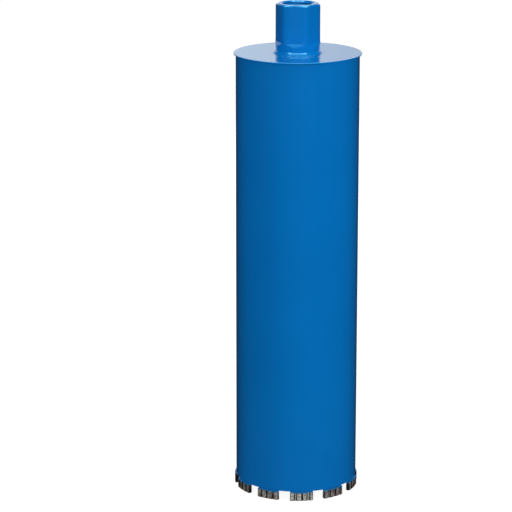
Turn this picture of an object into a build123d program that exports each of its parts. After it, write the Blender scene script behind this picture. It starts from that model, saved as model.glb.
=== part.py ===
"""Diamond core bit for wet drilling, standing on its segments.

A thin steel barrel is closed at its upper end by a stepped plate. A hub, turned from round bar and
milled with six spanner flats, is welded to the plate and screws onto the drill spindle. Water runs
down through the hub and the plate into the barrel. Diamond segments are welded around the barrel's
lower rim.

Millimetres. Z is the bit's axis, up towards the drill. The origin is on the axis, at the segments'
cutting tips. The front is -Y.
"""
import os
from math import cos, degrees, radians, sin, tan

from build123d import *

# ------------------------------------------------------------------ barrel
barrel_diameter = 124.0
barrel_wall = 2.0
barrel_length = 440.8

# ------------------------------------------------------------------ diamond segments
segment_count = 11
segment_length = 24.0           # along the outer face
segment_height = 9.5
outside_kerf = 1.5              # how far a segment stands outside the barrel
inside_kerf = 0.5               # how far it stands inside the barrel
segment_corner = 0.6            # radius of its upright corners
segment_turn = 5.4              # degrees from the front to the first segment's middle
groove_count = 3                # upright grooves in a segment's outer face
groove_spacing = 6.6
groove_width = 2.6
groove_depth = 0.8

# ------------------------------------------------------------------ top plate
lip_overhang = 2.2              # how far the lip stands outside the barrel
lip_thickness = 1.5
lip_edge_chamfer = 0.4
spigot_depth = 6.0              # the step that sits inside the barrel
spigot_clearance = 0.1          # on the radius, to the barrel's inner wall
plate_bore_clearance = 0.1      # on the radius, to the hub's pilot

# ------------------------------------------------------------------ hub
spanner_size = 41.0             # across the six flats
bar_over_flats = 4.0            # the round bar's diameter beyond the spanner size
hub_height = 49.6               # above the plate
flats_start = 11.3              # height of the flats' lower ends above the plate
runout_angle = 58.0             # slope below each flat, in degrees from level
flat_turn = -8.2                # degrees from the front to the nearest flat's middle
end_chamfer_width = 2.8         # chamfer around the hub's upper end, measured along the radius
end_chamfer_angle = 30.0        # degrees from level
thread_diameter = 31.75         # 1 1/4 inch thread, 7 turns to the inch
bore_floor = 11.0               # from the plate's top up to the end of the threaded bore
drill_point_angle = 118.0       # included angle of the cone below the bore
water_passage_diameter = 16.0
pilot_wall = 8.0                # wall around the water passage in the pilot below the hub
pilot_length = 6.0              # how far the pilot reaches down into the plate
mouth_chamfer = 1.0

# ------------------------------------------------------------------ hub weld
weld_width = 3.2                # along the plate
weld_height = 3.0               # up the hub
weld_crown = 0.62               # how far out the bead's middle is, as a share of its width and height

# ------------------------------------------------------------------ worked out
full_turn = 360.0
front = -90.0                   # direction of -Y, in degrees from +X

barrel_radius = barrel_diameter / 2
barrel_inner_radius = barrel_radius - barrel_wall
barrel_bottom = segment_height
barrel_top = barrel_bottom + barrel_length

segment_outer_radius = barrel_radius + outside_kerf
segment_inner_radius = barrel_inner_radius - inside_kerf
segment_sweep = degrees(segment_length / segment_outer_radius)
groove_step = degrees(groove_spacing / segment_outer_radius)

plate_top = barrel_top + lip_thickness
plate_bottom = barrel_top - spigot_depth
lip_radius = barrel_radius + lip_overhang
spigot_radius = barrel_inner_radius - spigot_clearance

bar_radius = (spanner_size + bar_over_flats) / 2
flat_distance = spanner_size / 2
runout_depth = bar_radius - flat_distance
flats_bottom = plate_top + flats_start
hub_top = plate_top + hub_height
end_chamfer_drop = end_chamfer_width * tan(radians(end_chamfer_angle))
thread_radius = thread_diameter / 2
bore_bottom = plate_top + bore_floor
water_radius = water_passage_diameter / 2
drill_point_height = (thread_radius - water_radius) / tan(radians(drill_point_angle / 2))
pilot_radius = water_radius + pilot_wall
pilot_bottom = plate_top - pilot_length
plate_bore_radius = pilot_radius + plate_bore_clearance

os.makedirs("parts", exist_ok=True)

# ------------------------------------------------------------------ barrel tube
with BuildPart() as barrel_tube:
    with BuildSketch(Plane.XY.offset(barrel_bottom)):
        Circle(barrel_radius)
        Circle(barrel_inner_radius, mode=Mode.SUBTRACT)
    extrude(amount=barrel_length)

barrel_tube.part.label = "barrel_tube"
export_step(barrel_tube.part, "parts/barrel_tube.step")

# ------------------------------------------------------------------ top plate
# The lip lies on the barrel's upper rim, and the step below it centres the plate inside the barrel.
with BuildPart() as top_plate:
    with BuildSketch(Plane.XY.offset(plate_bottom)):
        Circle(spigot_radius)
    extrude(amount=spigot_depth)
    with BuildSketch(Plane.XY.offset(barrel_top)):
        Circle(lip_radius)
    extrude(amount=lip_thickness)
    lip_edges = top_plate.edges(Select.LAST).filter_by(GeomType.CIRCLE).group_by(SortBy.RADIUS)[-1]
    chamfer(lip_edges, lip_edge_chamfer)
    with BuildSketch(Plane.XY.offset(plate_bottom)):
        Circle(plate_bore_radius)
    extrude(amount=spigot_depth + lip_thickness, mode=Mode.SUBTRACT)

top_plate.part.label = "top_plate"
export_step(top_plate.part, "parts/top_plate.step")

# ------------------------------------------------------------------ hub
# The turned form is one revolved half-section: pilot, round bar, end chamfer, threaded bore down to
# its drill point, and the water passage below it.
with BuildPart() as hub:
    with BuildSketch(Plane.XZ):
        with BuildLine():
            Polyline(
                (water_radius, pilot_bottom),
                (pilot_radius, pilot_bottom),
                (pilot_radius, plate_top),
                (bar_radius, plate_top),
                (bar_radius, hub_top - end_chamfer_drop),
                (bar_radius - end_chamfer_width, hub_top),
                (thread_radius + mouth_chamfer, hub_top),
                (thread_radius, hub_top - mouth_chamfer),
                (thread_radius, bore_bottom),
                (water_radius, bore_bottom - drill_point_height),
                close=True,
            )
        make_face()
    revolve(axis=Axis.Z)

    # Each spanner flat is milled down from the hub's end and runs out in a slope.
    past_bar = bar_radius + runout_depth
    runout_past_bar = flats_bottom - (past_bar - flat_distance) * tan(radians(runout_angle))
    for number in range(6):
        angle = radians(front + flat_turn + number * full_turn / 6)
        outward = Vector(cos(angle), sin(angle), 0)
        with BuildSketch(Plane(origin=(0, 0, 0), x_dir=outward, z_dir=outward.cross(Vector(0, 0, 1)))):
            with BuildLine():
                Polyline(
                    (flat_distance, hub_top),
                    (flat_distance, flats_bottom),
                    (past_bar, runout_past_bar),
                    (past_bar, hub_top),
                    close=True,
                )
            make_face()
        extrude(amount=bar_radius, both=True, mode=Mode.SUBTRACT)

hub.part.label = "hub"
export_step(hub.part, "parts/hub.step")

# ------------------------------------------------------------------ hub weld
# One bead around the foot of the hub, on the plate, with a rounded face.
with BuildPart() as hub_weld:
    with BuildSketch(Plane.XZ):
        with BuildLine():
            weld_toe = (bar_radius + weld_width, plate_top)
            weld_middle = (bar_radius + weld_crown * weld_width, plate_top + weld_crown * weld_height)
            weld_end = (bar_radius, plate_top + weld_height)
            ThreePointArc(weld_toe, weld_middle, weld_end)
            Polyline(weld_end, (bar_radius, plate_top), weld_toe)
        make_face()
    revolve(axis=Axis.Z)

hub_weld.part.label = "hub_weld"
export_step(hub_weld.part, "parts/hub_weld.step")

# ------------------------------------------------------------------ diamond segments
for number in range(segment_count):
    middle = front + segment_turn + number * full_turn / segment_count
    start = middle - segment_sweep / 2
    with BuildPart() as segment:
        with BuildSketch() as outline:
            with BuildLine():
                outer = CenterArc((0, 0), segment_outer_radius, start, segment_sweep)
                inner = CenterArc((0, 0), segment_inner_radius, start, segment_sweep)
                Line(outer @ 0, inner @ 0)
                Line(outer @ 1, inner @ 1)
            make_face()
            fillet(outline.vertices(), segment_corner)
            first_groove = middle - groove_step * (groove_count - 1) / 2
            with PolarLocations(
                segment_outer_radius,
                groove_count,
                start_angle=first_groove,
                angular_range=groove_step * (groove_count - 1),
                endpoint=True,
            ):
                Rectangle(2 * groove_depth, groove_width, mode=Mode.SUBTRACT)
        extrude(amount=segment_height)

    segment.part.label = f"segment_{number + 1:02d}"
    export_step(segment.part, f"parts/{segment.part.label}.step")
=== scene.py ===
"""Diamond core bit for wet drilling, dressed around its CAD frame.

A blue enamelled steel barrel is closed by a glossy top plate. A hub with six spanner flats and a
threaded bore is welded to the plate, and sintered diamond segments stand around the lower rim.

Laid out as an add-on: property groups hold the sizes and colours, one operator makes each piece or
group of like pieces, and a sidebar panel lists them. Lengths are metres. +Z is up along the bit's
axis, the origin is on the axis at the cutting tips, and the front is -Y.
"""
import math

import bpy
import numpy as np
from bpy.props import FloatProperty, FloatVectorProperty, IntProperty, PointerProperty
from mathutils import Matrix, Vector


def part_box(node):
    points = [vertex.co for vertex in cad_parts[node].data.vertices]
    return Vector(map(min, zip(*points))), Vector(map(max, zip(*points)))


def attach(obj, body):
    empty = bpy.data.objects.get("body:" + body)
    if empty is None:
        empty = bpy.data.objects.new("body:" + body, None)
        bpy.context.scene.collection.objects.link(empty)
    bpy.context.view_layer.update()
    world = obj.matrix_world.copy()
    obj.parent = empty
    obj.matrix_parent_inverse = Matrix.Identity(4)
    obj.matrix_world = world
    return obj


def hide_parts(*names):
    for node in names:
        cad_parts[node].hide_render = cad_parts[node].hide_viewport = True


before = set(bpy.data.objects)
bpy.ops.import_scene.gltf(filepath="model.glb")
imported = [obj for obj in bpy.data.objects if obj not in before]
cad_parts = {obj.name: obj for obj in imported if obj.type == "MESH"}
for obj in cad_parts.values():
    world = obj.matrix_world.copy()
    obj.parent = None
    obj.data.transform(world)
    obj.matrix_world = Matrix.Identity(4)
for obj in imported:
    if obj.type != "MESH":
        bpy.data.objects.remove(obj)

bl_info = {
    "name": "Diamond Core Bit",
    "version": (1, 0, 0),
    "blender": (4, 5, 0),
    "location": "3D View > Sidebar > Core Bit",
    "description": "Makes an enamelled wet-drilling core bit with sintered diamond segments",
    "category": "Add Mesh",
}

BODY = "root"
SEGMENT_NODES = sorted(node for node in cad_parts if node.startswith("segment_"))
FULL_TURN = 2 * math.pi
FRONT = -math.pi / 2

# Where the grooves of the segments at the front begin and end, in metres from a segment's middle.
GROOVES = {
    "segment_11": ((-0.0076, -0.0059), (-0.0014, 0.0004), (0.0052, 0.0072)),
    "segment_01": ((-0.0076, -0.0048), (-0.0002, 0.0012), (0.0053, 0.0088)),
    "segment_02": ((-0.0075, -0.0046), (-0.0006, 0.0024), (0.0065, 0.0089)),
}
# How far the others' grooves are off their places, and each half of one off its width, by chance.
GROOVE_SHIFT = (-0.0004, 0.0004)
GROOVE_WIDENING = (-0.0004, 0.0001)
# How bronze-rich these segments are, from 0 to 1. They rise away from the front, which paints
# shade there as well as a bronze tone. The others get a share by chance.
BRONZE_AND_SHADE_SHARES = {
    "segment_10": 0.95, "segment_11": 0.65, "segment_01": 0.0, "segment_02": 0.85,
    "segment_03": 0.95,
}
# How much of the usual overspray the segments at the two sides have.
OVERSPRAY_SHARES = {"segment_04": 0.1, "segment_09": 0.1}


# ---------- sizes and colours
def amount(name, description, default, **limits):
    """A plain number."""
    return FloatProperty(name=name, description=description, default=default, **limits)


def length(name, description, default):
    """A length in metres, shown in the scene's unit."""
    return amount(name, description, default, unit="LENGTH", precision=5)


def angle(name, description, degrees):
    """An angle in radians, shown in degrees."""
    return amount(name, description, math.radians(degrees), unit="ROTATION")


def share(name, description, default):
    """A number between 0 and 1."""
    return amount(name, description, default, min=0.0, max=1.0)


def colour(name, description, default):
    """A linear colour without alpha."""
    return FloatVectorProperty(
        name=name, description=description, default=default, subtype="COLOR", size=3
    )


class BarrelSizes(bpy.types.PropertyGroup):
    """The barrel and its top plate, beyond what the frame's boxes give."""
    wall: length("Wall", "Wall of the barrel", 0.002)
    rim_round: length("Rim round", "Barrel's outer edges under the paint", 0.0007)
    bore_paint: length("Bore paint", "Reach of the paint up inside the barrel", 0.006)
    lip_thickness: length("Lip thickness", "Lip of the top plate, on the barrel's rim", 0.0015)
    lip_top_round: length("Lip top round", "Radius of the lip's upper edge", 0.0007)
    lip_low_round: length("Lip low round", "Radius of the lip's lower edge", 0.0005)
    edge_round: length("Edge round", "Radius that paint leaves on an edge", 0.0002)
    spigot_radius: length("Spigot radius", "Plate's step inside the barrel", 0.0599)
    plate_bore: length("Plate bore", "Radius of the bore around the hub's pilot", 0.0161)
    sectors: IntProperty(name="Sectors", description="Steps around the axis", default=384)


class HubSizes(bpy.types.PropertyGroup):
    """The hub's spanner flats, bore and thread."""
    bar_radius: length("Bar radius", "Radius of the round bar", 0.0225)
    flat_distance: length("Flat distance", "From the axis to a spanner flat", 0.0205)
    flats_start: length("Flats start", "Their lower ends, above the plate", 0.0113)
    runout_angle: angle("Run-out angle", "Slope below each flat, from level", 58.0)
    flat_turn: angle("Flat turn", "From the front to the nearest flat's middle", -8.2)
    edge_blend: length("Edge blend", "Width of the rounding at a run-out's edge", 0.0006)
    corner_blend: length("Corner blend", "Width of the rounding of the flats' corners", 0.0018)
    chamfer_width: length("Chamfer width", "Of the upper end, along the radius", 0.0028)
    chamfer_angle: angle("Chamfer angle", "Of the upper end, from level", 30.0)
    edge_round: length("Edge round", "Radius that paint leaves on an edge", 0.0005)
    thread_radius: length("Thread radius", "Outer radius of the 1 1/4 inch thread", 0.015875)
    thread_pitch: length("Thread pitch", "7 turns to the inch", 0.0254 / 7)
    mouth_chamfer: length("Mouth chamfer", "Chamfer at the bore's mouth", 0.001)
    bore_floor: length("Bore floor", "From the plate's top up to the end of the bore", 0.011)
    drill_point: angle("Drill point", "Included angle of the cone below the bore", 118.0)
    passage_radius: length("Passage radius", "Radius of the water passage", 0.008)
    pilot_radius: length("Pilot radius", "Radius of the pilot in the plate", 0.016)
    bore_paint: length("Bore paint", "Depth in the bore where the paint begins to give out", 0.011)
    sectors: IntProperty(name="Sectors", description="Steps around the axis", default=360)


class WeldSizes(bpy.types.PropertyGroup):
    """The bead around the foot of the hub."""
    shoulder_out: share("Shoulder out", "The bead's shoulder, as a share of its width", 0.53)
    shoulder_up: share("Shoulder up", "The bead's shoulder, as a share of its height", 0.50)
    shoulder_round: length("Shoulder round", "Radius of the bead's shoulder", 0.0008)
    wash_out: share("Wash out", "Where its foot thins out, as a share of its width", 0.72)
    wash_up: share("Wash up", "Where its foot thins out, as a share of its height", 0.12)
    wash_round: length("Wash round", "Hollow where the foot thins out", 0.0004)
    ripple: length("Ripple", "Height of the welding's ripples", 0.00004)
    ripple_pitch: length("Ripple pitch", "From one ripple to the next", 0.0019)
    wander: length("Wander", "How far the bead's width wanders", 0.0003)
    sectors: IntProperty(name="Sectors", description="Steps around the axis", default=1080)


class SegmentSizes(bpy.types.PropertyGroup):
    """The sintered diamond segments."""
    arc_length: length("Length", "Length along the outer face", 0.024)
    thickness: length("Thickness", "From the inner to the outer face", 0.004)
    outer_radius: length("Outer radius", "Radius of the outer face", 0.0635)
    end_round: length("End round", "Radius along the segment at its ends", 0.0008)
    face_round: length("Face round", "Radius across the segment at its faces", 0.0005)
    tip_round: length("Tip round", "Radius at the cutting tips", 0.0007)
    root_round: length("Root round", "Radius at the edge that meets the barrel", 0.0002)
    groove_spacing: length("Groove spacing", "From one groove's middle to the next", 0.0066)
    groove_width: length("Groove width", "Width of a groove in the outer face", 0.0026)
    groove_depth: length("Groove depth", "Depth of a groove", 0.0008)
    groove_wall: length("Groove wall", "Width of a groove's sloping wall", 0.0003)
    grain: length("Grain", "Height of the grains in the face", 0.00009)
    overspray: length("Overspray", "Reach of the paint down a segment", 0.001)


class Finishes(bpy.types.PropertyGroup):
    """Colours and gloss of the finishes."""
    enamel: colour("Enamel", "Blue enamel", (0.0004, 0.150, 0.470))
    enamel_deep: colour("Deep enamel", "Where it lies thicker", (0.0003, 0.142, 0.452))
    enamel_roughness: share("Enamel roughness", "Roughness of the pigmented coat", 0.22)
    clear_roughness: share("Clear roughness", "Roughness of the clear coat", 0.02)
    peel: length("Orange peel", "Depth of the enamel's orange peel", 0.000018)
    steel: colour("Steel", "Bare mild steel", (0.42, 0.41, 0.40))
    steel_roughness: share("Steel roughness", "Roughness of bare steel", 0.32)
    scale: colour("Scale", "Dull scale on the steel", (0.16, 0.145, 0.13))
    scale_roughness: share("Scale roughness", "Roughness of that scale", 0.62)
    streaks: length("Streaks", "Depth of the fine streaks in bare steel", 0.00006)
    sinter: colour("Sinter", "Dressed face of a segment", (0.66, 0.645, 0.62))
    sinter_relief: length("Sinter relief", "Depth of the finest grain", 0.00012)
    sinter_metal: share("Sinter metal", "How metallic the sinter is", 0.35)
    sinter_specular: share("Sinter specular", "Specular level of the sinter", 0.3)
    # Also the colour of the painted shade on the segments away from the front.
    bronze: colour("Bronze", "Bronze-rich patches of the sinter", (0.17, 0.12, 0.105))
    pits: colour("Pits", "Dark pits in the sinter", (0.10, 0.095, 0.09))
    grit: colour("Grit", "Diamond grit in the sinter", (0.55, 0.53, 0.44))
    # Near black on the segments' end faces; in the grooves it is black residue and painted shade.
    dark_ends_and_groove_shade: colour("Mould skin", "Skin left by the graphite mould", (0.012, 0.012, 0.013))
    overspray: colour("Overspray", "Thin paint on a segment's root", (0.008, 0.13, 0.34))


class Studio(bpy.types.PropertyGroup):
    """Camera, lamps and surroundings."""
    camera_distance: length("Camera distance", "From the bit's axis to the camera, level", 2.38124)
    camera_height: length("Camera height", "Above the floor", 0.85893)
    camera_pitch: angle("Camera pitch", "Downwards", 14.533)
    camera_yaw: angle("Camera yaw", "To the left", 1.0025)
    lens: amount("Lens", "Focal length on a 36 mm sensor", 169.647)
    fill_light: amount("Fill light", "Level of the surroundings", 0.12)
    left_power: amount("Left power", "Lamp at the left, in watts", 9.5)
    left_front_power: amount("Left front power", "Lamp at the left front, in watts", 12.4)
    right_front_power: amount("Right front power", "Lamp at the right front, in watts", 4.9)
    right_power: amount("Right power", "Lamp at the right, in watts", 23.4)
    back_power: amount("Back power", "Lamp behind, in watts", 20.0)
    lamp_distance: length("Lamp distance", "From the bit's axis to a side lamp", 1.8)
    lamp_height: length("Lamp height", "Of the side lamps", 0.75)
    top_power: amount("Top power", "Lamp overhead, in watts", 12.0)
    top_distance: length("Top distance", "From the bit's axis to the lamp overhead", 0.1)
    top_height: length("Top height", "Of the lamp overhead", 1.7)
    lamp_size: length("Lamp size", "Side of each square lamp", 0.8)
    aim_height: length("Aim height", "Of the point that the lamps face", 0.3)
    floor_reach: length("Floor reach", "From the bit's axis to the floor's edge", 6.0)
    floor_level: share("Floor level", "Brightness of the floor in reflections", 0.008)
    floor_bounce: share("Floor bounce", "Light that the floor throws back", 0.04)
    near_bounce: share("Near bounce", "Light that the floor throws back near the bit", 0.18)
    inside_level: amount("Inside level", "Floor inside the barrel, but not for the camera", 2.0)
    wall_left: amount("Wall left", "Wall behind at the left, in reflections", 0.88)
    wall_right: amount("Wall right", "Wall behind at the right, in reflections", 0.72)
    wall_tint: colour("Wall tint", "Colour of that wall", (0.87, 0.97, 1.0))
    overhead_level: amount("Overhead level", "Softbox overhead, in reflections", 2.4)
    strip_gain: amount("Strip gain", "Added to two strips of it, as a multiple", 2.0)
    rear_level: amount("Rear level", "Softbox above the rear, in reflections", 2.8)
    front_level: amount("Front level", "Softbox above the front, in reflections", 0.8)
    softbox_tint: colour("Softbox tint", "Colour of the softboxes", (0.3, 0.92, 1.0))
    shadow_share: share("Shadow share", "Most that a shadow takes off the white", 0.07)


# ---------- surfaces
def mesh_object(name, points, quads, **values):
    """A smooth object at the origin from points (n, 3) and quads (m, 4), with values per point."""
    mesh = bpy.data.meshes.new(name)
    mesh.from_pydata(points.tolist(), [], quads.tolist())
    for label, value in values.items():
        attribute = mesh.attributes.new(label, "FLOAT", "POINT")
        attribute.data.foreach_set("value", np.ascontiguousarray(value, dtype=np.float32).ravel())
    mesh.shade_smooth()
    mesh.validate()
    piece = bpy.data.objects.new(name, mesh)
    bpy.context.scene.collection.objects.link(piece)
    return piece


def wrapped_quads(rows, columns):
    """Quads of a grid that closes on itself both ways, as the surface of a ring does.

    Quad (i, j) joins points (i, j), (i, j + 1), (i + 1, j + 1), (i + 1, j), counted round.
    """
    row, column = np.meshgrid(np.arange(rows), np.arange(columns), indexing="ij")
    next_row = (row + 1) % rows
    next_column = (column + 1) % columns
    corners = (
        row * columns + column,
        row * columns + next_column,
        next_row * columns + next_column,
        next_row * columns + column,
    )
    return np.stack(corners, axis=-1).reshape(-1, 4)


def corner_arc(before, here, after, radius, steps=6):
    """Points of the arc of this radius that is tangent to both sides of a corner.

    With unit vectors a and b along the sides and f the angle between them, the arc begins and ends
    radius / tan(f / 2) from the corner, and its centre is radius / sin(f / 2) away on the bisector.
    """
    if radius == 0.0:
        return here[None]
    a = (before - here) / np.linalg.norm(before - here)
    b = (after - here) / np.linalg.norm(after - here)
    half = math.acos(np.clip(a @ b, -1.0, 1.0)) / 2
    centre = here + (a + b) / np.linalg.norm(a + b) * radius / math.sin(half)
    first = here + a * radius / math.tan(half) - centre
    last = here + b * radius / math.tan(half) - centre
    sweep = math.pi - 2 * half
    part = np.linspace(0.0, 1.0, steps)[:, None]
    blend = np.sin((1 - part) * sweep) * first + np.sin(part * sweep) * last
    return centre + blend / math.sin(sweep)


def turned_profile(corners, margin=0.00015):
    """Closed half-section (r, z), counter-clockwise, with an arc at each corner.

    A corner is (r, z, radius, spacing), where spacing sets the points on the side that follows it.
    A long side also has a point just inside each end, which keeps its shading flat.
    """
    place = np.array([corner[:2] for corner in corners])
    count = len(corners)
    arcs = [
        corner_arc(place[i - 1], place[i], place[(i + 1) % count], corners[i][2])
        for i in range(count)
    ]
    runs = []
    for i, arc in enumerate(arcs):
        start, end = arc[-1], arcs[(i + 1) % count][0]
        span = np.linalg.norm(end - start)
        inner = np.linspace(0.0, 1.0, max(1, round(span / corners[i][3])) + 1)[1:-1]
        if span > 8 * margin:
            inner = inner[(inner > 2 * margin / span) & (inner < 1 - 2 * margin / span)]
            inner = np.concatenate(([margin / span], inner, [1 - margin / span]))
        runs += [arc, start + inner[:, None] * (end - start)]
    return np.concatenate(runs)


def around_axis(radius, turn, height):
    """Points (r cos a, r sin a, z)."""
    return np.stack((radius * np.cos(turn), radius * np.sin(turn), height), axis=-1)


def turned_ring(profile, sectors, reshape=None):
    """A half-section carried around the axis: a point for every (r, z) and angle a.

    reshape(r, z, a) gives the radius that a point really has, for flats and threads.
    """
    around = FRONT + np.arange(sectors) * FULL_TURN / sectors
    radius, turn = np.meshgrid(profile[:, 0], around, indexing="ij")
    height = np.repeat(profile[:, 1:2], sectors, axis=1)
    if reshape:
        radius = reshape(radius, height, turn)
    return around_axis(radius, turn, height)


def smooth_step(value, low, high):
    """0 below low, 1 above high, and 3 t^2 - 2 t^3 between them."""
    t = np.clip((value - low) / (high - low), 0.0, 1.0)
    return t * t * (3 - 2 * t)


def smooth_minimum(a, b, width):
    """The smaller of a and b, with the corner rounded where they are closer than width."""
    near = np.maximum(width - np.abs(a - b), 0.0) / width
    return np.minimum(a, b) - near * near * width / 4


def value_noise(points, cell, seed):
    """Smooth noise from -1 to 1: random values on a cubic lattice, blended by smooth steps."""
    size = 64
    table = np.random.default_rng(seed).uniform(-1.0, 1.0, (size, size, size))
    place = points / cell
    base = np.floor(place).astype(int)
    part = place - base
    part = part * part * (3 - 2 * part)
    total = np.zeros(points.shape[:-1])
    for corner in np.ndindex(2, 2, 2):
        weight = np.prod(np.where(corner, part, 1 - part), axis=-1)
        i, j, k = np.moveaxis((base + corner) % size, -1, 0)
        total += weight * table[i, j, k]
    return total


def box_lattice(cells):
    """Points and outward quads of a box's surface, on a lattice of whole numbers from 0 to cells.

    Each side is a grid, and the points that two sides share are merged by their lattice number.
    """
    step = np.array((1, cells[0] + 1, (cells[0] + 1) * (cells[1] + 1)))
    sides = []
    for axis in range(3):
        first, second = (axis + 1) % 3, (axis + 2) % 3
        grid = np.meshgrid(np.arange(cells[first] + 1), np.arange(cells[second] + 1), indexing="ij")
        for end in (0, cells[axis]):
            number = end * step[axis] + grid[0] * step[first] + grid[1] * step[second]
            ring = (number[:-1, :-1], number[1:, :-1], number[1:, 1:], number[:-1, 1:])
            ring = ring if end else ring[::-1]
            sides.append(np.stack(ring, axis=-1).reshape(-1, 4))
    numbers, quads = np.unique(np.concatenate(sides), return_inverse=True)
    lattice = numbers % step[1], numbers // step[1] % (cells[1] + 1), numbers // step[2]
    return np.stack(lattice, axis=-1), quads.reshape(-1, 4)


def graded_steps(span, cells, band, band_cells=4):
    """Places from -span / 2 to span / 2: band_cells steps within band of each end, then even."""
    half = span / 2
    middle = np.linspace(-half + band, half - band, cells - 2 * band_cells + 1)
    edge = np.linspace(-half, -half + band, band_cells + 1)[:-1]
    return np.concatenate((edge, middle, -edge[::-1]))


# ---------- materials
class Tree:
    """Short calls that build a node tree from left to right."""

    def __init__(self, tree):
        self.tree = tree

    def add(self, kind, **settings):
        """A node with its settings."""
        node = self.tree.nodes.new(kind)
        for key, value in settings.items():
            setattr(node, key, value)
        return node

    def put(self, socket, value):
        """Links an output to a socket, or sets the socket's own value."""
        if isinstance(value, bpy.types.NodeSocket):
            self.tree.links.new(value, socket)
        else:
            socket.default_value = value

    def feed(self, node, **values):
        """Sets a node's sockets, with underscores for spaces in their names."""
        for label, value in values.items():
            self.put(node.inputs[label.replace("_", " ")], value)
        return node.outputs

    def ramp(self, value, low, high, start=0.0, end=1.0):
        """Maps low..high to start..end, smoothly, and holds the ends."""
        node = self.add("ShaderNodeMapRange", interpolation_type="SMOOTHSTEP")
        self.feed(node, Value=value, From_Min=low, From_Max=high, To_Min=start, To_Max=end)
        return node.outputs["Result"]

    def join(self, kind, *values, output=0, **settings):
        """A node with its first inputs set; gives one of its outputs."""
        node = self.add(kind, **settings)
        for socket, value in zip(node.inputs, values):
            self.put(socket, value)
        return node.outputs[output]

    def math(self, operation, *values):
        """One arithmetic step."""
        return self.join("ShaderNodeMath", *values, operation=operation)

    def emitter(self, kind, strength, tint=(1.0, 1.0, 1.0)):
        """An emission or background shader."""
        return self.join(kind, (*tint, 1.0), strength)

    def either(self, part, first, second):
        """Blends two shaders; part 0 gives the first."""
        return self.join("ShaderNodeMixShader", part, first, second)

    def both(self, first, second):
        """Adds two shaders."""
        return self.join("ShaderNodeAddShader", first, second)


class Nodes(Tree):
    """The node tree of a piece's material."""

    def __init__(self, name):
        self.material = bpy.data.materials.new(name)
        self.material.use_nodes = True
        super().__init__(self.material.node_tree)
        self.shader = self.tree.nodes["Principled BSDF"]
        self.place = self.add("ShaderNodeTexCoord").outputs["Object"]

    def attribute(self, name):
        """A float stored on the mesh's points."""
        return self.add("ShaderNodeAttribute", attribute_name=name).outputs["Fac"]

    def noise(self, scale, detail=2.0, stretch=(1.0, 1.0, 1.0)):
        """Noise on object coordinates, about 0 to 1, with features of 1 / scale metres."""
        place = self.feed(self.add("ShaderNodeMapping"), Vector=self.place, Scale=stretch)["Vector"]
        node = self.add("ShaderNodeTexNoise")
        return self.feed(node, Vector=place, Scale=scale, Detail=detail)["Fac"]

    def grains(self, scale):
        """Distance to the nearest grain of a scatter with 1 / scale metres between them."""
        node = self.add("ShaderNodeTexVoronoi")
        return self.feed(node, Vector=self.place, Scale=scale)["Distance"]

    def mix(self, part, first, second):
        """Blends two colours; part 0 gives the first."""
        node = self.add("ShaderNodeMix", data_type="RGBA")
        self.put(node.inputs[0], part)
        for index, value in zip((6, 7), (first, second)):
            linked = isinstance(value, bpy.types.NodeSocket)
            self.put(node.inputs[index], value if linked else (*value, 1.0))
        return node.outputs[2]

    def blend(self, part, first, second):
        """Blends two numbers; part 0 gives the first."""
        node = self.add("ShaderNodeMix", data_type="FLOAT")
        for index, value in zip((0, 2, 3), (part, first, second)):
            self.put(node.inputs[index], value)
        return node.outputs[0]

    def bump(self, height, distance, normal=None):
        """A normal from a height of 0 to 1 that stands for distance metres."""
        node = self.add("ShaderNodeBump")
        self.feed(node, Strength=1.0, Distance=distance, Height=height)
        if normal:
            self.put(node.inputs["Normal"], normal)
        return node.outputs["Normal"]

    def finish(self, **values):
        """Sets the shader's sockets and gives the material."""
        self.feed(self.shader, **values)
        return self.material


def enamel_over_steel():
    """Blue enamel under a clear coat where the point value "paint" is 1, and bare steel at 0.

    The enamel has the faint orange peel of a sprayed coat and clouds of slightly thicker paint. The
    steel has fine streaks around the axis and patches of dull scale.
    """
    finish = bpy.context.scene.core_bit_finishes
    nodes = Nodes("enamel_over_steel")
    worn = nodes.ramp(nodes.noise(900.0, 3.0), 0.3, 0.7, -0.2, 0.2)
    paint = nodes.ramp(nodes.math("ADD", nodes.attribute("paint"), worn), 0.4, 0.6)
    clouds = nodes.ramp(nodes.noise(14.0, 3.0), 0.35, 0.65)
    enamel = nodes.mix(clouds, finish.enamel, finish.enamel_deep)
    scale = nodes.ramp(nodes.noise(160.0, 5.0), 0.45, 0.7)
    streaks = nodes.noise(60.0, 4.0, (1.0, 1.0, 40.0))
    steel = nodes.mix(scale, finish.steel, finish.scale)
    dullness = nodes.ramp(scale, 0.0, 1.0, finish.steel_roughness, finish.scale_roughness)
    bare = nodes.math("SUBTRACT", 1.0, paint)
    peel = nodes.bump(nodes.noise(420.0, 2.0), finish.peel)
    return nodes.finish(
        Base_Color=nodes.mix(paint, steel, enamel),
        Roughness=nodes.blend(paint, dullness, finish.enamel_roughness),
        Metallic=bare,
        Coat_Weight=paint,
        Coat_Roughness=finish.clear_roughness,
        Normal=nodes.bump(nodes.math("MULTIPLY", streaks, bare), finish.streaks, peel),
    )


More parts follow.
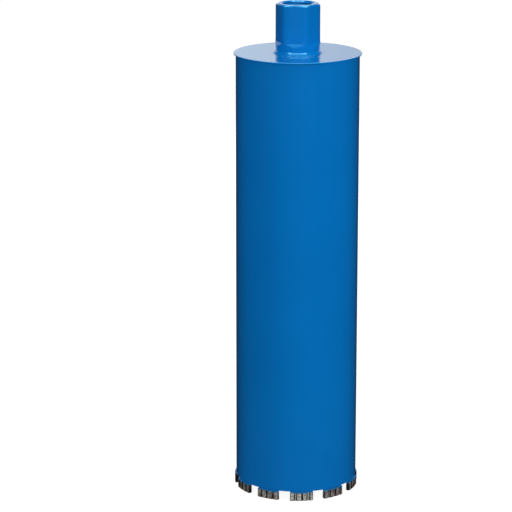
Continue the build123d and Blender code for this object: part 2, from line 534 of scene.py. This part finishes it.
def diamond_sinter():
    """Diamond-grit sinter: dressed grey faces, black ends, painted groove shade and blue overspray.

    The point value "skin" is 1 on the end faces, which it paints near
    black, and on the groove walls, where it paints shade along with black residue; a groove's floor
    gets a little of it. It is 0 where the face is dressed. "paint" is 1 where the barrel's enamel
    has run over the segment's root. "bronze" is the segment's own share of bronze-rich matrix,
    which on the segments away from the front also paints shade.
    """
    finish = bpy.context.scene.core_bit_finishes
    nodes = Nodes("diamond_sinter")
    mottle = nodes.noise(520.0, 5.0)
    patches = nodes.ramp(nodes.noise(130.0, 2.0), 0.45, 0.7, -0.25, 0.25)
    grit = nodes.ramp(nodes.grains(1400.0), 0.12, 0.3)
    # Bronze-rich patches, and painted shade on the segments away from the front.
    bronze_and_shade_part = nodes.ramp(nodes.math("ADD", nodes.attribute("bronze"), patches), 0.0, 1.0)
    sinter = nodes.mix(bronze_and_shade_part, finish.sinter, finish.bronze)
    sinter = nodes.mix(nodes.ramp(mottle, 0.35, 0.6, 0.75, 0.0), sinter, finish.pits)
    sinter = nodes.mix(grit, finish.grit, sinter)
    ragged = nodes.ramp(mottle, 0.3, 0.7, -0.25, 0.25)
    # Near-black end faces, and painted shade with black residue in the grooves.
    skin = nodes.ramp(nodes.math("ADD", nodes.attribute("skin"), ragged), 0.25, 0.75)
    bare = nodes.mix(skin, sinter, finish.dark_ends_and_groove_shade)
    paint = nodes.ramp(nodes.math("ADD", nodes.attribute("paint"), ragged), 0.2, 0.8)
    hollows = nodes.math("MULTIPLY", grit, -0.4)
    height = nodes.math("ADD", nodes.math("MULTIPLY", mottle, 0.6), hollows)
    return nodes.finish(
        Base_Color=nodes.mix(paint, bare, finish.overspray),
        Roughness=nodes.blend(paint, nodes.ramp(mottle, 0.3, 0.7, 0.62, 0.42), 0.5),
        Metallic=nodes.math("MULTIPLY", nodes.math("SUBTRACT", 1.0, paint), finish.sinter_metal),
        Specular_IOR_Level=finish.sinter_specular,
        Normal=nodes.bump(height, finish.sinter_relief),
    )


def shared_material(name, maker):
    """The named material, made once."""
    return bpy.data.materials.get(name) or maker()


def dress(piece, node, material):
    """Gives a piece its material, sets it on the body and hides the CAD node that it stands for."""
    piece.data.materials.append(material)
    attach(piece, BODY)
    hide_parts(node)


def enamelled_ring(name, node, profile, paint, sectors, reshape=None):
    """A turned ring in the enamel that the barrel, plate, hub and bead share.

    paint has a value for each point of the half-section.
    """
    points = turned_ring(profile, sectors, reshape).reshape(-1, 3)
    quads = wrapped_quads(len(profile), sectors)
    piece = mesh_object(name, points, quads, paint=np.repeat(paint, sectors))
    dress(piece, node, shared_material("enamel_over_steel", enamel_over_steel))


# ---------- pieces
class MESH_OT_core_bit_barrel(bpy.types.Operator):
    """Make the thin barrel, painted outside and bare inside"""
    bl_idname = "mesh.core_bit_barrel"
    bl_label = "Barrel"

    def execute(self, context):
        sizes = context.scene.core_bit_barrel
        low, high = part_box("barrel_tube")
        outer = high.x
        inner = outer - sizes.wall
        profile = turned_profile((
            (inner, low.z, sizes.edge_round, 0.001),
            (outer, low.z, sizes.rim_round, 0.02),
            (outer, high.z, sizes.edge_round, 0.001),
            (inner, high.z, sizes.edge_round, 0.02),
        ))
        middle = (inner + outer) / 2
        reach = profile[:, 1] - low.z
        inside = 1 - smooth_step(reach, 0.0, sizes.bore_paint)
        paint = np.where(profile[:, 0] > middle, 1.0, inside)
        enamelled_ring("enamelled_barrel", "barrel_tube", profile, paint, sizes.sectors)
        return {"FINISHED"}


class MESH_OT_core_bit_plate(bpy.types.Operator):
    """Make the stepped top plate with its rounded lip"""
    bl_idname = "mesh.core_bit_plate"
    bl_label = "Top Plate"

    def execute(self, context):
        sizes = context.scene.core_bit_barrel
        low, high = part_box("top_plate")
        seat = high.z - sizes.lip_thickness
        lip = high.x
        profile = turned_profile((
            (sizes.plate_bore, low.z, sizes.edge_round, 0.01),
            (sizes.spigot_radius, low.z, sizes.edge_round, 0.003),
            (sizes.spigot_radius, seat, 0.0, 0.001),
            (lip, seat, sizes.lip_low_round, 0.001),
            (lip, high.z, sizes.lip_top_round, 0.01),
            (sizes.plate_bore, high.z, sizes.edge_round, 0.003),
        ))
        paint = np.where(profile[:, 1] < seat - sizes.edge_round, 0.0, 1.0)
        enamelled_ring("enamelled_top_plate", "top_plate", profile, paint, sizes.sectors)
        return {"FINISHED"}


def flat_cut(sizes, plate_top, height, turn):
    """Radius at which the nearest spanner flat cuts the hub.

    A flat lies flat_distance from the axis above its lower end and slopes outwards below it, and
    its radius is that distance over the cosine of the angle from the flat's middle.
    """
    sixth = FULL_TURN / 6
    offset = (turn - FRONT - sizes.flat_turn + sixth / 2) % sixth - sixth / 2
    below = np.maximum(plate_top + sizes.flats_start - height, 0.0)
    return (sizes.flat_distance + below / math.tan(sizes.runout_angle)) / np.cos(offset)


def thread_crest(sizes, mouth, floor, height, turn):
    """How far the thread stands in from its outer radius: a right-handed helix of 60 degree ridges.

    With p the pitch, the full height is 5/8 of 0.866 p, a ridge's crest is p / 4 wide and the
    groove between ridges p / 8 wide. The height fades out over the last turn above the floor.
    """
    pitch = sizes.thread_pitch
    full = 0.625 * math.cos(math.pi / 6) * pitch
    phase = ((height - mouth) / pitch - turn / FULL_TURN) % 1.0
    wave = 1 - np.abs(2 * phase - 1)
    ridge = smooth_step(wave, 0.125, 0.75) * 0.3 + np.clip((wave - 0.125) / 0.625, 0.0, 1.0) * 0.7
    return full * ridge * smooth_step(height, floor + 0.5 * pitch, floor + 1.5 * pitch)


# Metres below and above the flats' lower ends, and below the end chamfer, where rows are fine.
RUNOUT_BELOW, RUNOUT_ABOVE, CHAMFER_BELOW = 0.004, 0.001, 0.0005
FINE_ROWS, THREAD_ROWS = 0.00025, 0.00028       # metres between those, and in the thread
CORNER_GROWTH = 0.003           # height over which the rounding of the flats' corners grows
BORE_PAINT_FADE = 0.008         # depth over which the paint in the bore gives out
ROUNDING_ROOM = 1e-6            # metres within which two radii count as the same


class MESH_OT_core_bit_hub(bpy.types.Operator):
    """Make the hub with its spanner flats, threaded bore and water passage"""
    bl_idname = "mesh.core_bit_hub"
    bl_label = "Hub"

    def execute(self, context):
        sizes = context.scene.core_bit_hub
        low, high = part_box("hub")
        plate_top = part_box("top_plate")[1].z
        bar = sizes.bar_radius
        thread = sizes.thread_radius
        drop = sizes.chamfer_width * math.tan(sizes.chamfer_angle)
        floor = plate_top + sizes.bore_floor
        cone = (thread - sizes.passage_radius) / math.tan(sizes.drill_point / 2)
        flats_bottom = plate_top + sizes.flats_start
        edge = sizes.edge_round
        profile = turned_profile((
            (sizes.passage_radius, low.z, edge, 0.002),
            (sizes.pilot_radius, low.z, edge, 0.002),
            (sizes.pilot_radius, plate_top, 0.0, 0.002),
            (bar, plate_top, 0.0, 0.002),
            (bar, flats_bottom - RUNOUT_BELOW, 0.0, FINE_ROWS),
            (bar, flats_bottom + RUNOUT_ABOVE, 0.0, 0.003),
            (bar, high.z - drop - CHAMFER_BELOW, 0.0, FINE_ROWS),
            (bar, high.z - drop, edge, FINE_ROWS),
            (bar - sizes.chamfer_width, high.z, edge, 0.001),
            (thread + sizes.mouth_chamfer, high.z, edge / 2, FINE_ROWS),
            (thread, high.z - sizes.mouth_chamfer, 0.0, THREAD_ROWS),
            (thread, floor, 0.0, 0.001),
            (sizes.passage_radius, floor - cone, edge, 0.004),
        ))
        tallest = thread + sizes.mouth_chamfer

        def cut(radius, height, turn):
            """Flats outside; inside, the thread held back by a 45 degree cone at the mouth."""
            above = smooth_step(height - plate_top - sizes.flats_start, 0.0, CORNER_GROWTH)
            blend = sizes.edge_blend + (sizes.corner_blend - sizes.edge_blend) * above
            outside = smooth_minimum(radius, flat_cut(sizes, plate_top, height, turn), blend)
            ridged = radius - thread_crest(sizes, high.z, floor, height, turn)
            inside = np.maximum(ridged, tallest - (high.z - height))
            wall = (radius <= thread + ROUNDING_ROOM) & (height >= floor)
            outer = radius > sizes.pilot_radius + edge
            return np.where(wall, inside, np.where(outer, outside, radius))

        depth = high.z - profile[:, 1]
        hidden = (profile[:, 0] < thread + edge) | (profile[:, 1] < plate_top)
        fade = 1 - smooth_step(depth, sizes.bore_paint, sizes.bore_paint + BORE_PAINT_FADE)
        paint = np.where(hidden, fade, 1.0)
        enamelled_ring("threaded_hub", "hub", profile, paint, sizes.sectors, cut)
        return {"FINISHED"}


BEAD_ROWS = 0.0003              # metres between the rows of the bead's face
# The waves of the bead's wander: how many around the hub, where they start, and their share.
WANDER_WAVES = ((5, 0.7, 0.5), (11, 2.1, 0.3), (17, 0.0, 0.2))
RIPPLE_LAG = 2.6                # by which a ripple lags from the bead's foot to its top, in radians
RIPPLE_DRIFT = 1.2              # by which the wander shifts the ripples at most, in radians


class MESH_OT_core_bit_weld(bpy.types.Operator):
    """Make the rippled bead around the foot of the hub"""
    bl_idname = "mesh.core_bit_weld"
    bl_label = "Hub Weld"

    def execute(self, context):
        sizes = context.scene.core_bit_weld
        low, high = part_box("hub_weld")
        bar = context.scene.core_bit_hub.bar_radius
        width = high.x - bar
        tall = high.z - low.z

        def along_bead(out, up):
            """Radius and height of a place given as shares of the bead's width and height."""
            return bar + out * width, low.z + up * tall

        profile = turned_profile((
            (bar, low.z, 0.0, 0.001),
            (bar + width, low.z, 0.0, BEAD_ROWS),
            (*along_bead(sizes.wash_out, sizes.wash_up), sizes.wash_round, BEAD_ROWS),
            (*along_bead(sizes.shoulder_out, sizes.shoulder_up), sizes.shoulder_round, BEAD_ROWS),
            (bar, high.z, 0.0, 0.001),
        ))
        ripples = round(FULL_TURN * bar / sizes.ripple_pitch)

        def uneven(radius, height, turn):
            """The bead's reach from the hub, less a slow wander and a ripple that lags upwards."""
            wander = sum(np.sin(count * turn + start) * gain for count, start, gain in WANDER_WAVES)
            lag = RIPPLE_LAG * (height - low.z) / tall
            ripple = np.cos(ripples * turn + lag + RIPPLE_DRIFT * wander)
            inwards = sizes.wander * (1 + wander) / 2 + sizes.ripple * (1 + ripple) / 2
            return bar + (radius - bar) * (1 - inwards / width)

        paint = np.ones(len(profile))
        enamelled_ring("hub_weld_bead", "hub_weld", profile, paint, sizes.sectors, uneven)
        return {"FINISHED"}


def node_direction(node):
    """Angle about the axis, from +X, of the middle of a CAD node."""
    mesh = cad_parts[node].data
    place = np.empty(len(mesh.vertices) * 3)
    mesh.vertices.foreach_get("co", place)
    x, y, _ = place.reshape(-1, 3).T
    turn = np.arctan2(y, x)
    return math.atan2(np.sin(turn).mean(), np.cos(turn).mean())


SEGMENT_CELLS = (176, 14, 44)   # along, across and up
SEGMENT_SEED, FINE_SEED, SCALLOP_SEED = 300, 50, 90
ON_FACE = 0.999                 # share of the way out past which a point is on a face
COARSE_GRAIN, FINE_GRAIN = 0.0009, 0.0004       # metres from one grain to the next
ROOT_FADE = (0.0012, 0.0002)    # metres from the root, where the grain begins to fade and is gone
END_DARKENING = (0.0011, 0.0003)     # metres from an end, where the near-black end paint begins and is whole
GROOVE_FLOOR_SHADE = 0.35              # how much of that darkening a groove's floor has, as painted shade and black residue
SCALLOP, SCALLOP_CELL = 0.0005, 0.0024          # the overspray's uneven edge, in metres
GROOVE_SHADE = 0.0004           # how much less far the overspray reaches in a groove, in metres
SPRAY_EDGE = (0.0006, 0.0012)   # metres over which it thins out, before and past its reach


class MESH_OT_core_bit_segments(bpy.types.Operator):
    """Make the diamond segments, each with its own grain and slightly uneven grooves"""
    bl_idname = "mesh.core_bit_segments"
    bl_label = "Diamond Segments"

    def execute(self, context):
        sizes = context.scene.core_bit_segments
        material = shared_material("diamond_sinter", diamond_sinter)
        for number, node in enumerate(SEGMENT_NODES):
            low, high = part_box(node)
            self.make(sizes, node, number, node_direction(node), low.z, high.z, material)
        return {"FINISHED"}

    def make(self, sizes, node, number, direction, tip, root, material):
        """One segment: a rounded box, grooved outside, grained, and bent around the axis."""
        lattice, quads = box_lattice(SEGMENT_CELLS)
        tall = root - tip
        edges = (sizes.end_round, sizes.face_round, sizes.tip_round)
        spans = (sizes.arc_length, sizes.thickness, tall)
        halves = np.array(spans) / 2
        flat = np.stack([
            graded_steps(span, count, edge)[lattice[:, axis]]
            for axis, (span, count, edge) in enumerate(zip(spans, SEGMENT_CELLS, edges))
        ], axis=-1)
        along, across, up = self.rounded(sizes, flat, halves).T
        outwards = smooth_step(across, -0.1 * sizes.thickness, 0.45 * sizes.thickness)
        random = np.random.default_rng(SEGMENT_SEED + number)
        groove, wall = self.grooves(sizes, along, node, random)
        across = across - sizes.groove_depth * groove * outwards

        place = np.stack((along + 0.1 * number, across, up), axis=-1)
        coarse = value_noise(place, COARSE_GRAIN, number)
        fine = value_noise(place, FINE_GRAIN, number + FINE_SEED)
        grain = 0.6 * coarse + 0.4 * fine
        side = flat / halves
        facing = np.abs(side) > ON_FACE
        keep_root = 1 - smooth_step(up, tall / 2 - ROOT_FADE[0], tall / 2 - ROOT_FADE[1])
        lift = sizes.grain * grain * keep_root
        across = across + lift * facing[:, 1] * np.sign(side[:, 1])
        along = along + lift * facing[:, 0] * np.sign(side[:, 0])
        up = up + np.abs(lift) * (side[:, 2] < -ON_FACE)

        middle = sizes.outer_radius - sizes.thickness / 2
        turn = direction + along / sizes.outer_radius
        points = around_axis(middle + across, turn, (tip + root) / 2 + up)

        half = sizes.arc_length / 2
        ends = smooth_step(np.abs(along), half - END_DARKENING[0], half - END_DARKENING[1])
        # Near black on the ends; painted shade with black residue on the groove walls and floors.
        skin = np.maximum.reduce((ends, wall * outwards, GROOVE_FLOOR_SHADE * groove * outwards))
        from_root = tall / 2 - up
        drawn_out = place * (1.0, 0.2, 0.2)
        scallop = SCALLOP * value_noise(drawn_out, SCALLOP_CELL, number + SCALLOP_SEED)
        over = sizes.overspray * OVERSPRAY_SHARES.get(node, 1.0) + scallop - GROOVE_SHADE * groove
        paint = 1 - smooth_step(from_root, over - SPRAY_EDGE[0], over + SPRAY_EDGE[1])
        # The listed shares also paint shade on the segments away from the front.
        bronze = np.full(len(points), BRONZE_AND_SHADE_SHARES.get(node, random.uniform(0.1, 0.9)))
        piece = mesh_object(f"diamond_{node}", points, quads, skin=skin, paint=paint, bronze=bronze)
        dress(piece, node, material)

    def rounded(self, sizes, flat, half):
        """Rounds the edges: a point beyond the inner box is pulled onto an ellipsoid there."""
        rounds = np.stack(np.broadcast_arrays(
            sizes.end_round,
            sizes.face_round,
            np.where(flat[:, 2] < 0, sizes.tip_round, sizes.root_round),
        ), axis=-1)
        core = np.clip(flat, -half + rounds, half - rounds)
        reach = (flat - core) / rounds
        size = np.maximum(np.linalg.norm(reach, axis=-1, keepdims=True), 1e-9)
        return core + rounds * reach / np.maximum(size, 1.0)

    def grooves(self, sizes, along, node, random):
        """Depth from 0 to 1 of the three grooves along the segment, and their walls' steepness."""
        groove = np.zeros_like(along)
        wall = np.zeros_like(along)
        middles = sizes.groove_spacing * np.arange(-1, 2) + random.uniform(*GROOVE_SHIFT, 3)
        halves = sizes.groove_width / 2 + random.uniform(*GROOVE_WIDENING, 3)
        spans = np.stack((middles - halves, middles + halves), axis=-1)
        for start, end in GROOVES.get(node, spans):
            distance = (end - start) / 2 - np.abs(along - (start + end) / 2)
            groove = np.maximum(groove, smooth_step(distance, 0.0, sizes.groove_wall))
            from_wall = np.abs(distance - sizes.groove_wall / 2)
            steep = 1 - smooth_step(from_wall, sizes.groove_wall, 2 * sizes.groove_wall)
            wall = np.maximum(wall, steep)
        return groove, wall


# ---------- stage
# The side lamps, in degrees to the right of the front.
LAMP_BEARINGS = {"left": -60, "left_front": -20, "right_front": 20, "right": 60, "back": 180}
# Metres from the axis over which the shadow, the near bounce and the bright patch give out.
SHADOW_REACH, NEAR_REACH, INSIDE_REACH = (0.3, 1.2), (0.15, 0.5), (0.05, 0.058)
# Softboxes, in degrees: from straight up towards the front, and from its middle to where each is no
# longer even and where it is gone.
OVERHEAD_BOX, REAR_BOX, FRONT_BOX = (-6.0, 22.0, 27.0), (-27.0, 20.0, 25.0), (36.0, 23.0, 32.0)
WALL_TOP = (24.0, 36.0)         # degrees up over which the wall behind gives out
# How far back a ray points where the wall begins and is full, how far right where its two sides
# meet, and how far aside where the overhead strips begin and end, as shares of the ray's length.
WALL_BACK, WALL_MIDDLE = (0.55, 0.9), (-0.03, 0.03)
STRIP_START, STRIP_END = (0.26, 0.31), (0.35, 0.4)


def area_lamp(studio, name, bearing, distance, height, power):
    """A square lamp, bearing degrees right of the front, that faces the bit but isn't mirrored."""
    turn = math.radians(bearing)
    place = Vector((distance * math.sin(turn), -distance * math.cos(turn), height))
    aim = Vector((0.0, 0.0, studio.aim_height))
    lamp = bpy.data.lights.new(name, "AREA")
    lamp.size = studio.lamp_size
    lamp.energy = power
    holder = bpy.data.objects.new(name, lamp)
    holder.location = place
    holder.rotation_euler = (aim - place).to_track_quat("-Z", "Y").to_euler()
    holder.visible_glossy = False
    bpy.context.scene.collection.objects.link(holder)


def studio_floor(studio):
    """A pale floor: white to the camera but for a soft shadow, dark in reflections, clear below.

    It throws back a little light, more close to the bit. Inside the barrel it is bright to all but
    the camera, which lights the barrel's inner wall.
    """
    square = studio.floor_reach * np.array(((-1, -1, 0), (1, -1, 0), (1, 1, 0), (-1, 1, 0)))
    floor = mesh_object("studio_floor", square, np.array(((0, 1, 2, 3),)))
    material = bpy.data.materials.new("studio_floor")
    material.use_nodes = True
    material.cycles.emission_sampling = "NONE"
    material.node_tree.nodes.clear()
    tree = Tree(material.node_tree)
    path = tree.add("ShaderNodeLightPath").outputs
    matt = tree.join("ShaderNodeBsdfDiffuse", (*[2 * studio.shadow_share] * 3, 1.0))
    place = tree.join("ShaderNodeTexCoord", output="Object")
    reach = tree.join("ShaderNodeVectorMath", place, output="Value", operation="LENGTH")
    white = tree.ramp(reach, *SHADOW_REACH, 1.0 - studio.shadow_share, 1.0)
    seen = tree.both(tree.emitter("ShaderNodeEmission", white), matt)
    near = tree.ramp(reach, *NEAR_REACH, studio.near_bounce, studio.floor_bounce)
    inside = tree.ramp(reach, *INSIDE_REACH, studio.inside_level, 0.0)
    bounce = tree.emitter("ShaderNodeEmission", tree.math("MAXIMUM", inside, near))
    level = tree.math("MAXIMUM", inside, studio.floor_level)
    mirrored = tree.emitter("ShaderNodeEmission", level)
    unseen = tree.either(path["Is Glossy Ray"], bounce, mirrored)
    upper = tree.either(path["Is Camera Ray"], unseen, seen)
    below = tree.add("ShaderNodeNewGeometry").outputs["Backfacing"]
    clear = tree.add("ShaderNodeBsdfTransparent").outputs[0]
    output = tree.add("ShaderNodeOutputMaterial")
    tree.put(output.inputs["Surface"], tree.either(below, upper, clear))
    floor.data.materials.append(material)


def softbox(tree, ray, box, level):
    """A round light as reflections see it; box is its three angles, as above.

    The cosine of a ray's angle from its middle is the product of their directions.
    """
    lean, inner, outer = map(math.radians, box)
    middle = (0.0, -math.sin(lean), math.cos(lean))
    near = tree.join("ShaderNodeVectorMath", ray, middle, output="Value", operation="DOT_PRODUCT")
    return tree.ramp(near, math.cos(outer), math.cos(inner), 0.0, level)


def studio_world(studio):
    """White to the camera and through glass, a soft fill to the rest, and its own reflections.

    Reflections show a white wall low down behind the bit, a little greyer to its right, and three
    cool softboxes above. The rest is dark.
    """
    world = bpy.data.worlds.new("studio")
    bpy.context.scene.world = world
    world.use_nodes = True
    world.node_tree.nodes.clear()
    tree = Tree(world.node_tree)
    path = tree.add("ShaderNodeLightPath").outputs
    ray = tree.add("ShaderNodeTexCoord").outputs["Generated"]
    split = tree.add("ShaderNodeSeparateXYZ")
    tree.put(split.inputs[0], ray)
    right, back, up = split.outputs
    low, high = (math.sin(math.radians(limit)) for limit in WALL_TOP)
    wall = tree.math("MULTIPLY", tree.ramp(up, low, high, 1.0, 0.0), tree.ramp(back, *WALL_BACK))
    sides = tree.ramp(right, *WALL_MIDDLE, studio.wall_left, studio.wall_right)
    wall = tree.math("MULTIPLY", wall, sides)
    aside = tree.math("ABSOLUTE", right)
    ending = tree.ramp(aside, *STRIP_END, studio.strip_gain, 0.0)
    strips = tree.math("MULTIPLY", tree.ramp(aside, *STRIP_START), ending)
    overhead = softbox(tree, ray, OVERHEAD_BOX, studio.overhead_level)
    overhead = tree.math("MULTIPLY", overhead, tree.math("ADD", strips, 1.0))
    rear = softbox(tree, ray, REAR_BOX, studio.rear_level)
    front = softbox(tree, ray, FRONT_BOX, studio.front_level)
    boxes = tree.math("ADD", overhead, tree.math("ADD", rear, front))
    mirrored = tree.both(
        tree.emitter("ShaderNodeBackground", wall, studio.wall_tint),
        tree.emitter("ShaderNodeBackground", boxes, studio.softbox_tint),
    )
    fill = tree.emitter("ShaderNodeBackground", studio.fill_light)
    white = tree.emitter("ShaderNodeBackground", 1.0)
    shown = tree.either(path["Is Glossy Ray"], fill, mirrored)
    shown = tree.either(path["Is Transmission Ray"], shown, white)
    shown = tree.either(path["Is Camera Ray"], shown, white)
    tree.put(tree.add("ShaderNodeOutputWorld").inputs["Surface"], shown)


def studio_camera(studio):
    """A long lens in front of the bit, looking slightly down and to the left of the axis."""
    lens = bpy.data.cameras.new("camera")
    lens.lens = studio.lens
    lens.sensor_width = 36.0
    lens.clip_start = 0.01
    camera = bpy.data.objects.new("camera", lens)
    camera.location = (0.0, -studio.camera_distance, studio.camera_height)
    level = math.cos(studio.camera_pitch)
    forward = Vector((
        -math.sin(studio.camera_yaw) * level,
        math.cos(studio.camera_yaw) * level,
        -math.sin(studio.camera_pitch),
    ))
    camera.rotation_euler = forward.to_track_quat("-Z", "Y").to_euler()
    bpy.context.scene.collection.objects.link(camera)
    bpy.context.scene.camera = camera


class SCENE_OT_core_bit_stage(bpy.types.Operator):
    """Set up the floor, the surroundings, the lamps and the camera"""
    bl_idname = "scene.core_bit_stage"
    bl_label = "Stage"

    def execute(self, context):
        studio = context.scene.core_bit_studio
        for name, bearing in LAMP_BEARINGS.items():
            area_lamp(studio, f"{name}_lamp", bearing, studio.lamp_distance, studio.lamp_height,
                      getattr(studio, f"{name}_power"))
        area_lamp(studio, "top_lamp", 0, studio.top_distance, studio.top_height, studio.top_power)
        studio_floor(studio)
        studio_world(studio)
        studio_camera(studio)
        context.scene.view_settings.view_transform = "Standard"
        return {"FINISHED"}


# ---------- panel and registration
PIECE_OPERATORS = (
    MESH_OT_core_bit_barrel,
    MESH_OT_core_bit_plate,
    MESH_OT_core_bit_hub,
    MESH_OT_core_bit_weld,
    MESH_OT_core_bit_segments,
    SCENE_OT_core_bit_stage,
)
PROPERTY_GROUPS = {
    "core_bit_barrel": BarrelSizes,
    "core_bit_hub": HubSizes,
    "core_bit_weld": WeldSizes,
    "core_bit_segments": SegmentSizes,
    "core_bit_finishes": Finishes,
    "core_bit_studio": Studio,
}


class VIEW3D_PT_core_bit(bpy.types.Panel):
    """The operators, and under them the sizes and colours that they use"""
    bl_idname = "VIEW3D_PT_core_bit"
    bl_label = "Diamond Core Bit"
    bl_space_type = "VIEW_3D"
    bl_region_type = "UI"
    bl_category = "Core Bit"

    def draw(self, context):
        for operator in PIECE_OPERATORS:
            self.layout.operator(operator.bl_idname)
        for holder, group in PROPERTY_GROUPS.items():
            box = self.layout.box()
            for label in group.__annotations__:
                box.prop(getattr(context.scene, holder), label)


def register():
    for holder, group in PROPERTY_GROUPS.items():
        bpy.utils.register_class(group)
        setattr(bpy.types.Scene, holder, PointerProperty(type=group))
    for item in (*PIECE_OPERATORS, VIEW3D_PT_core_bit):
        bpy.utils.register_class(item)


def unregister():
    for item in (VIEW3D_PT_core_bit, *reversed(PIECE_OPERATORS)):
        bpy.utils.unregister_class(item)
    for holder, group in reversed(PROPERTY_GROUPS.items()):
        delattr(bpy.types.Scene, holder)
        bpy.utils.unregister_class(group)


def main():
    """Makes every piece and the stage."""
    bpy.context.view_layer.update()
    register()
    bpy.ops.mesh.core_bit_barrel()
    bpy.ops.mesh.core_bit_plate()
    bpy.ops.mesh.core_bit_hub()
    bpy.ops.mesh.core_bit_weld()
    bpy.ops.mesh.core_bit_segments()
    bpy.ops.scene.core_bit_stage()


if __name__ == "__main__":
    main()
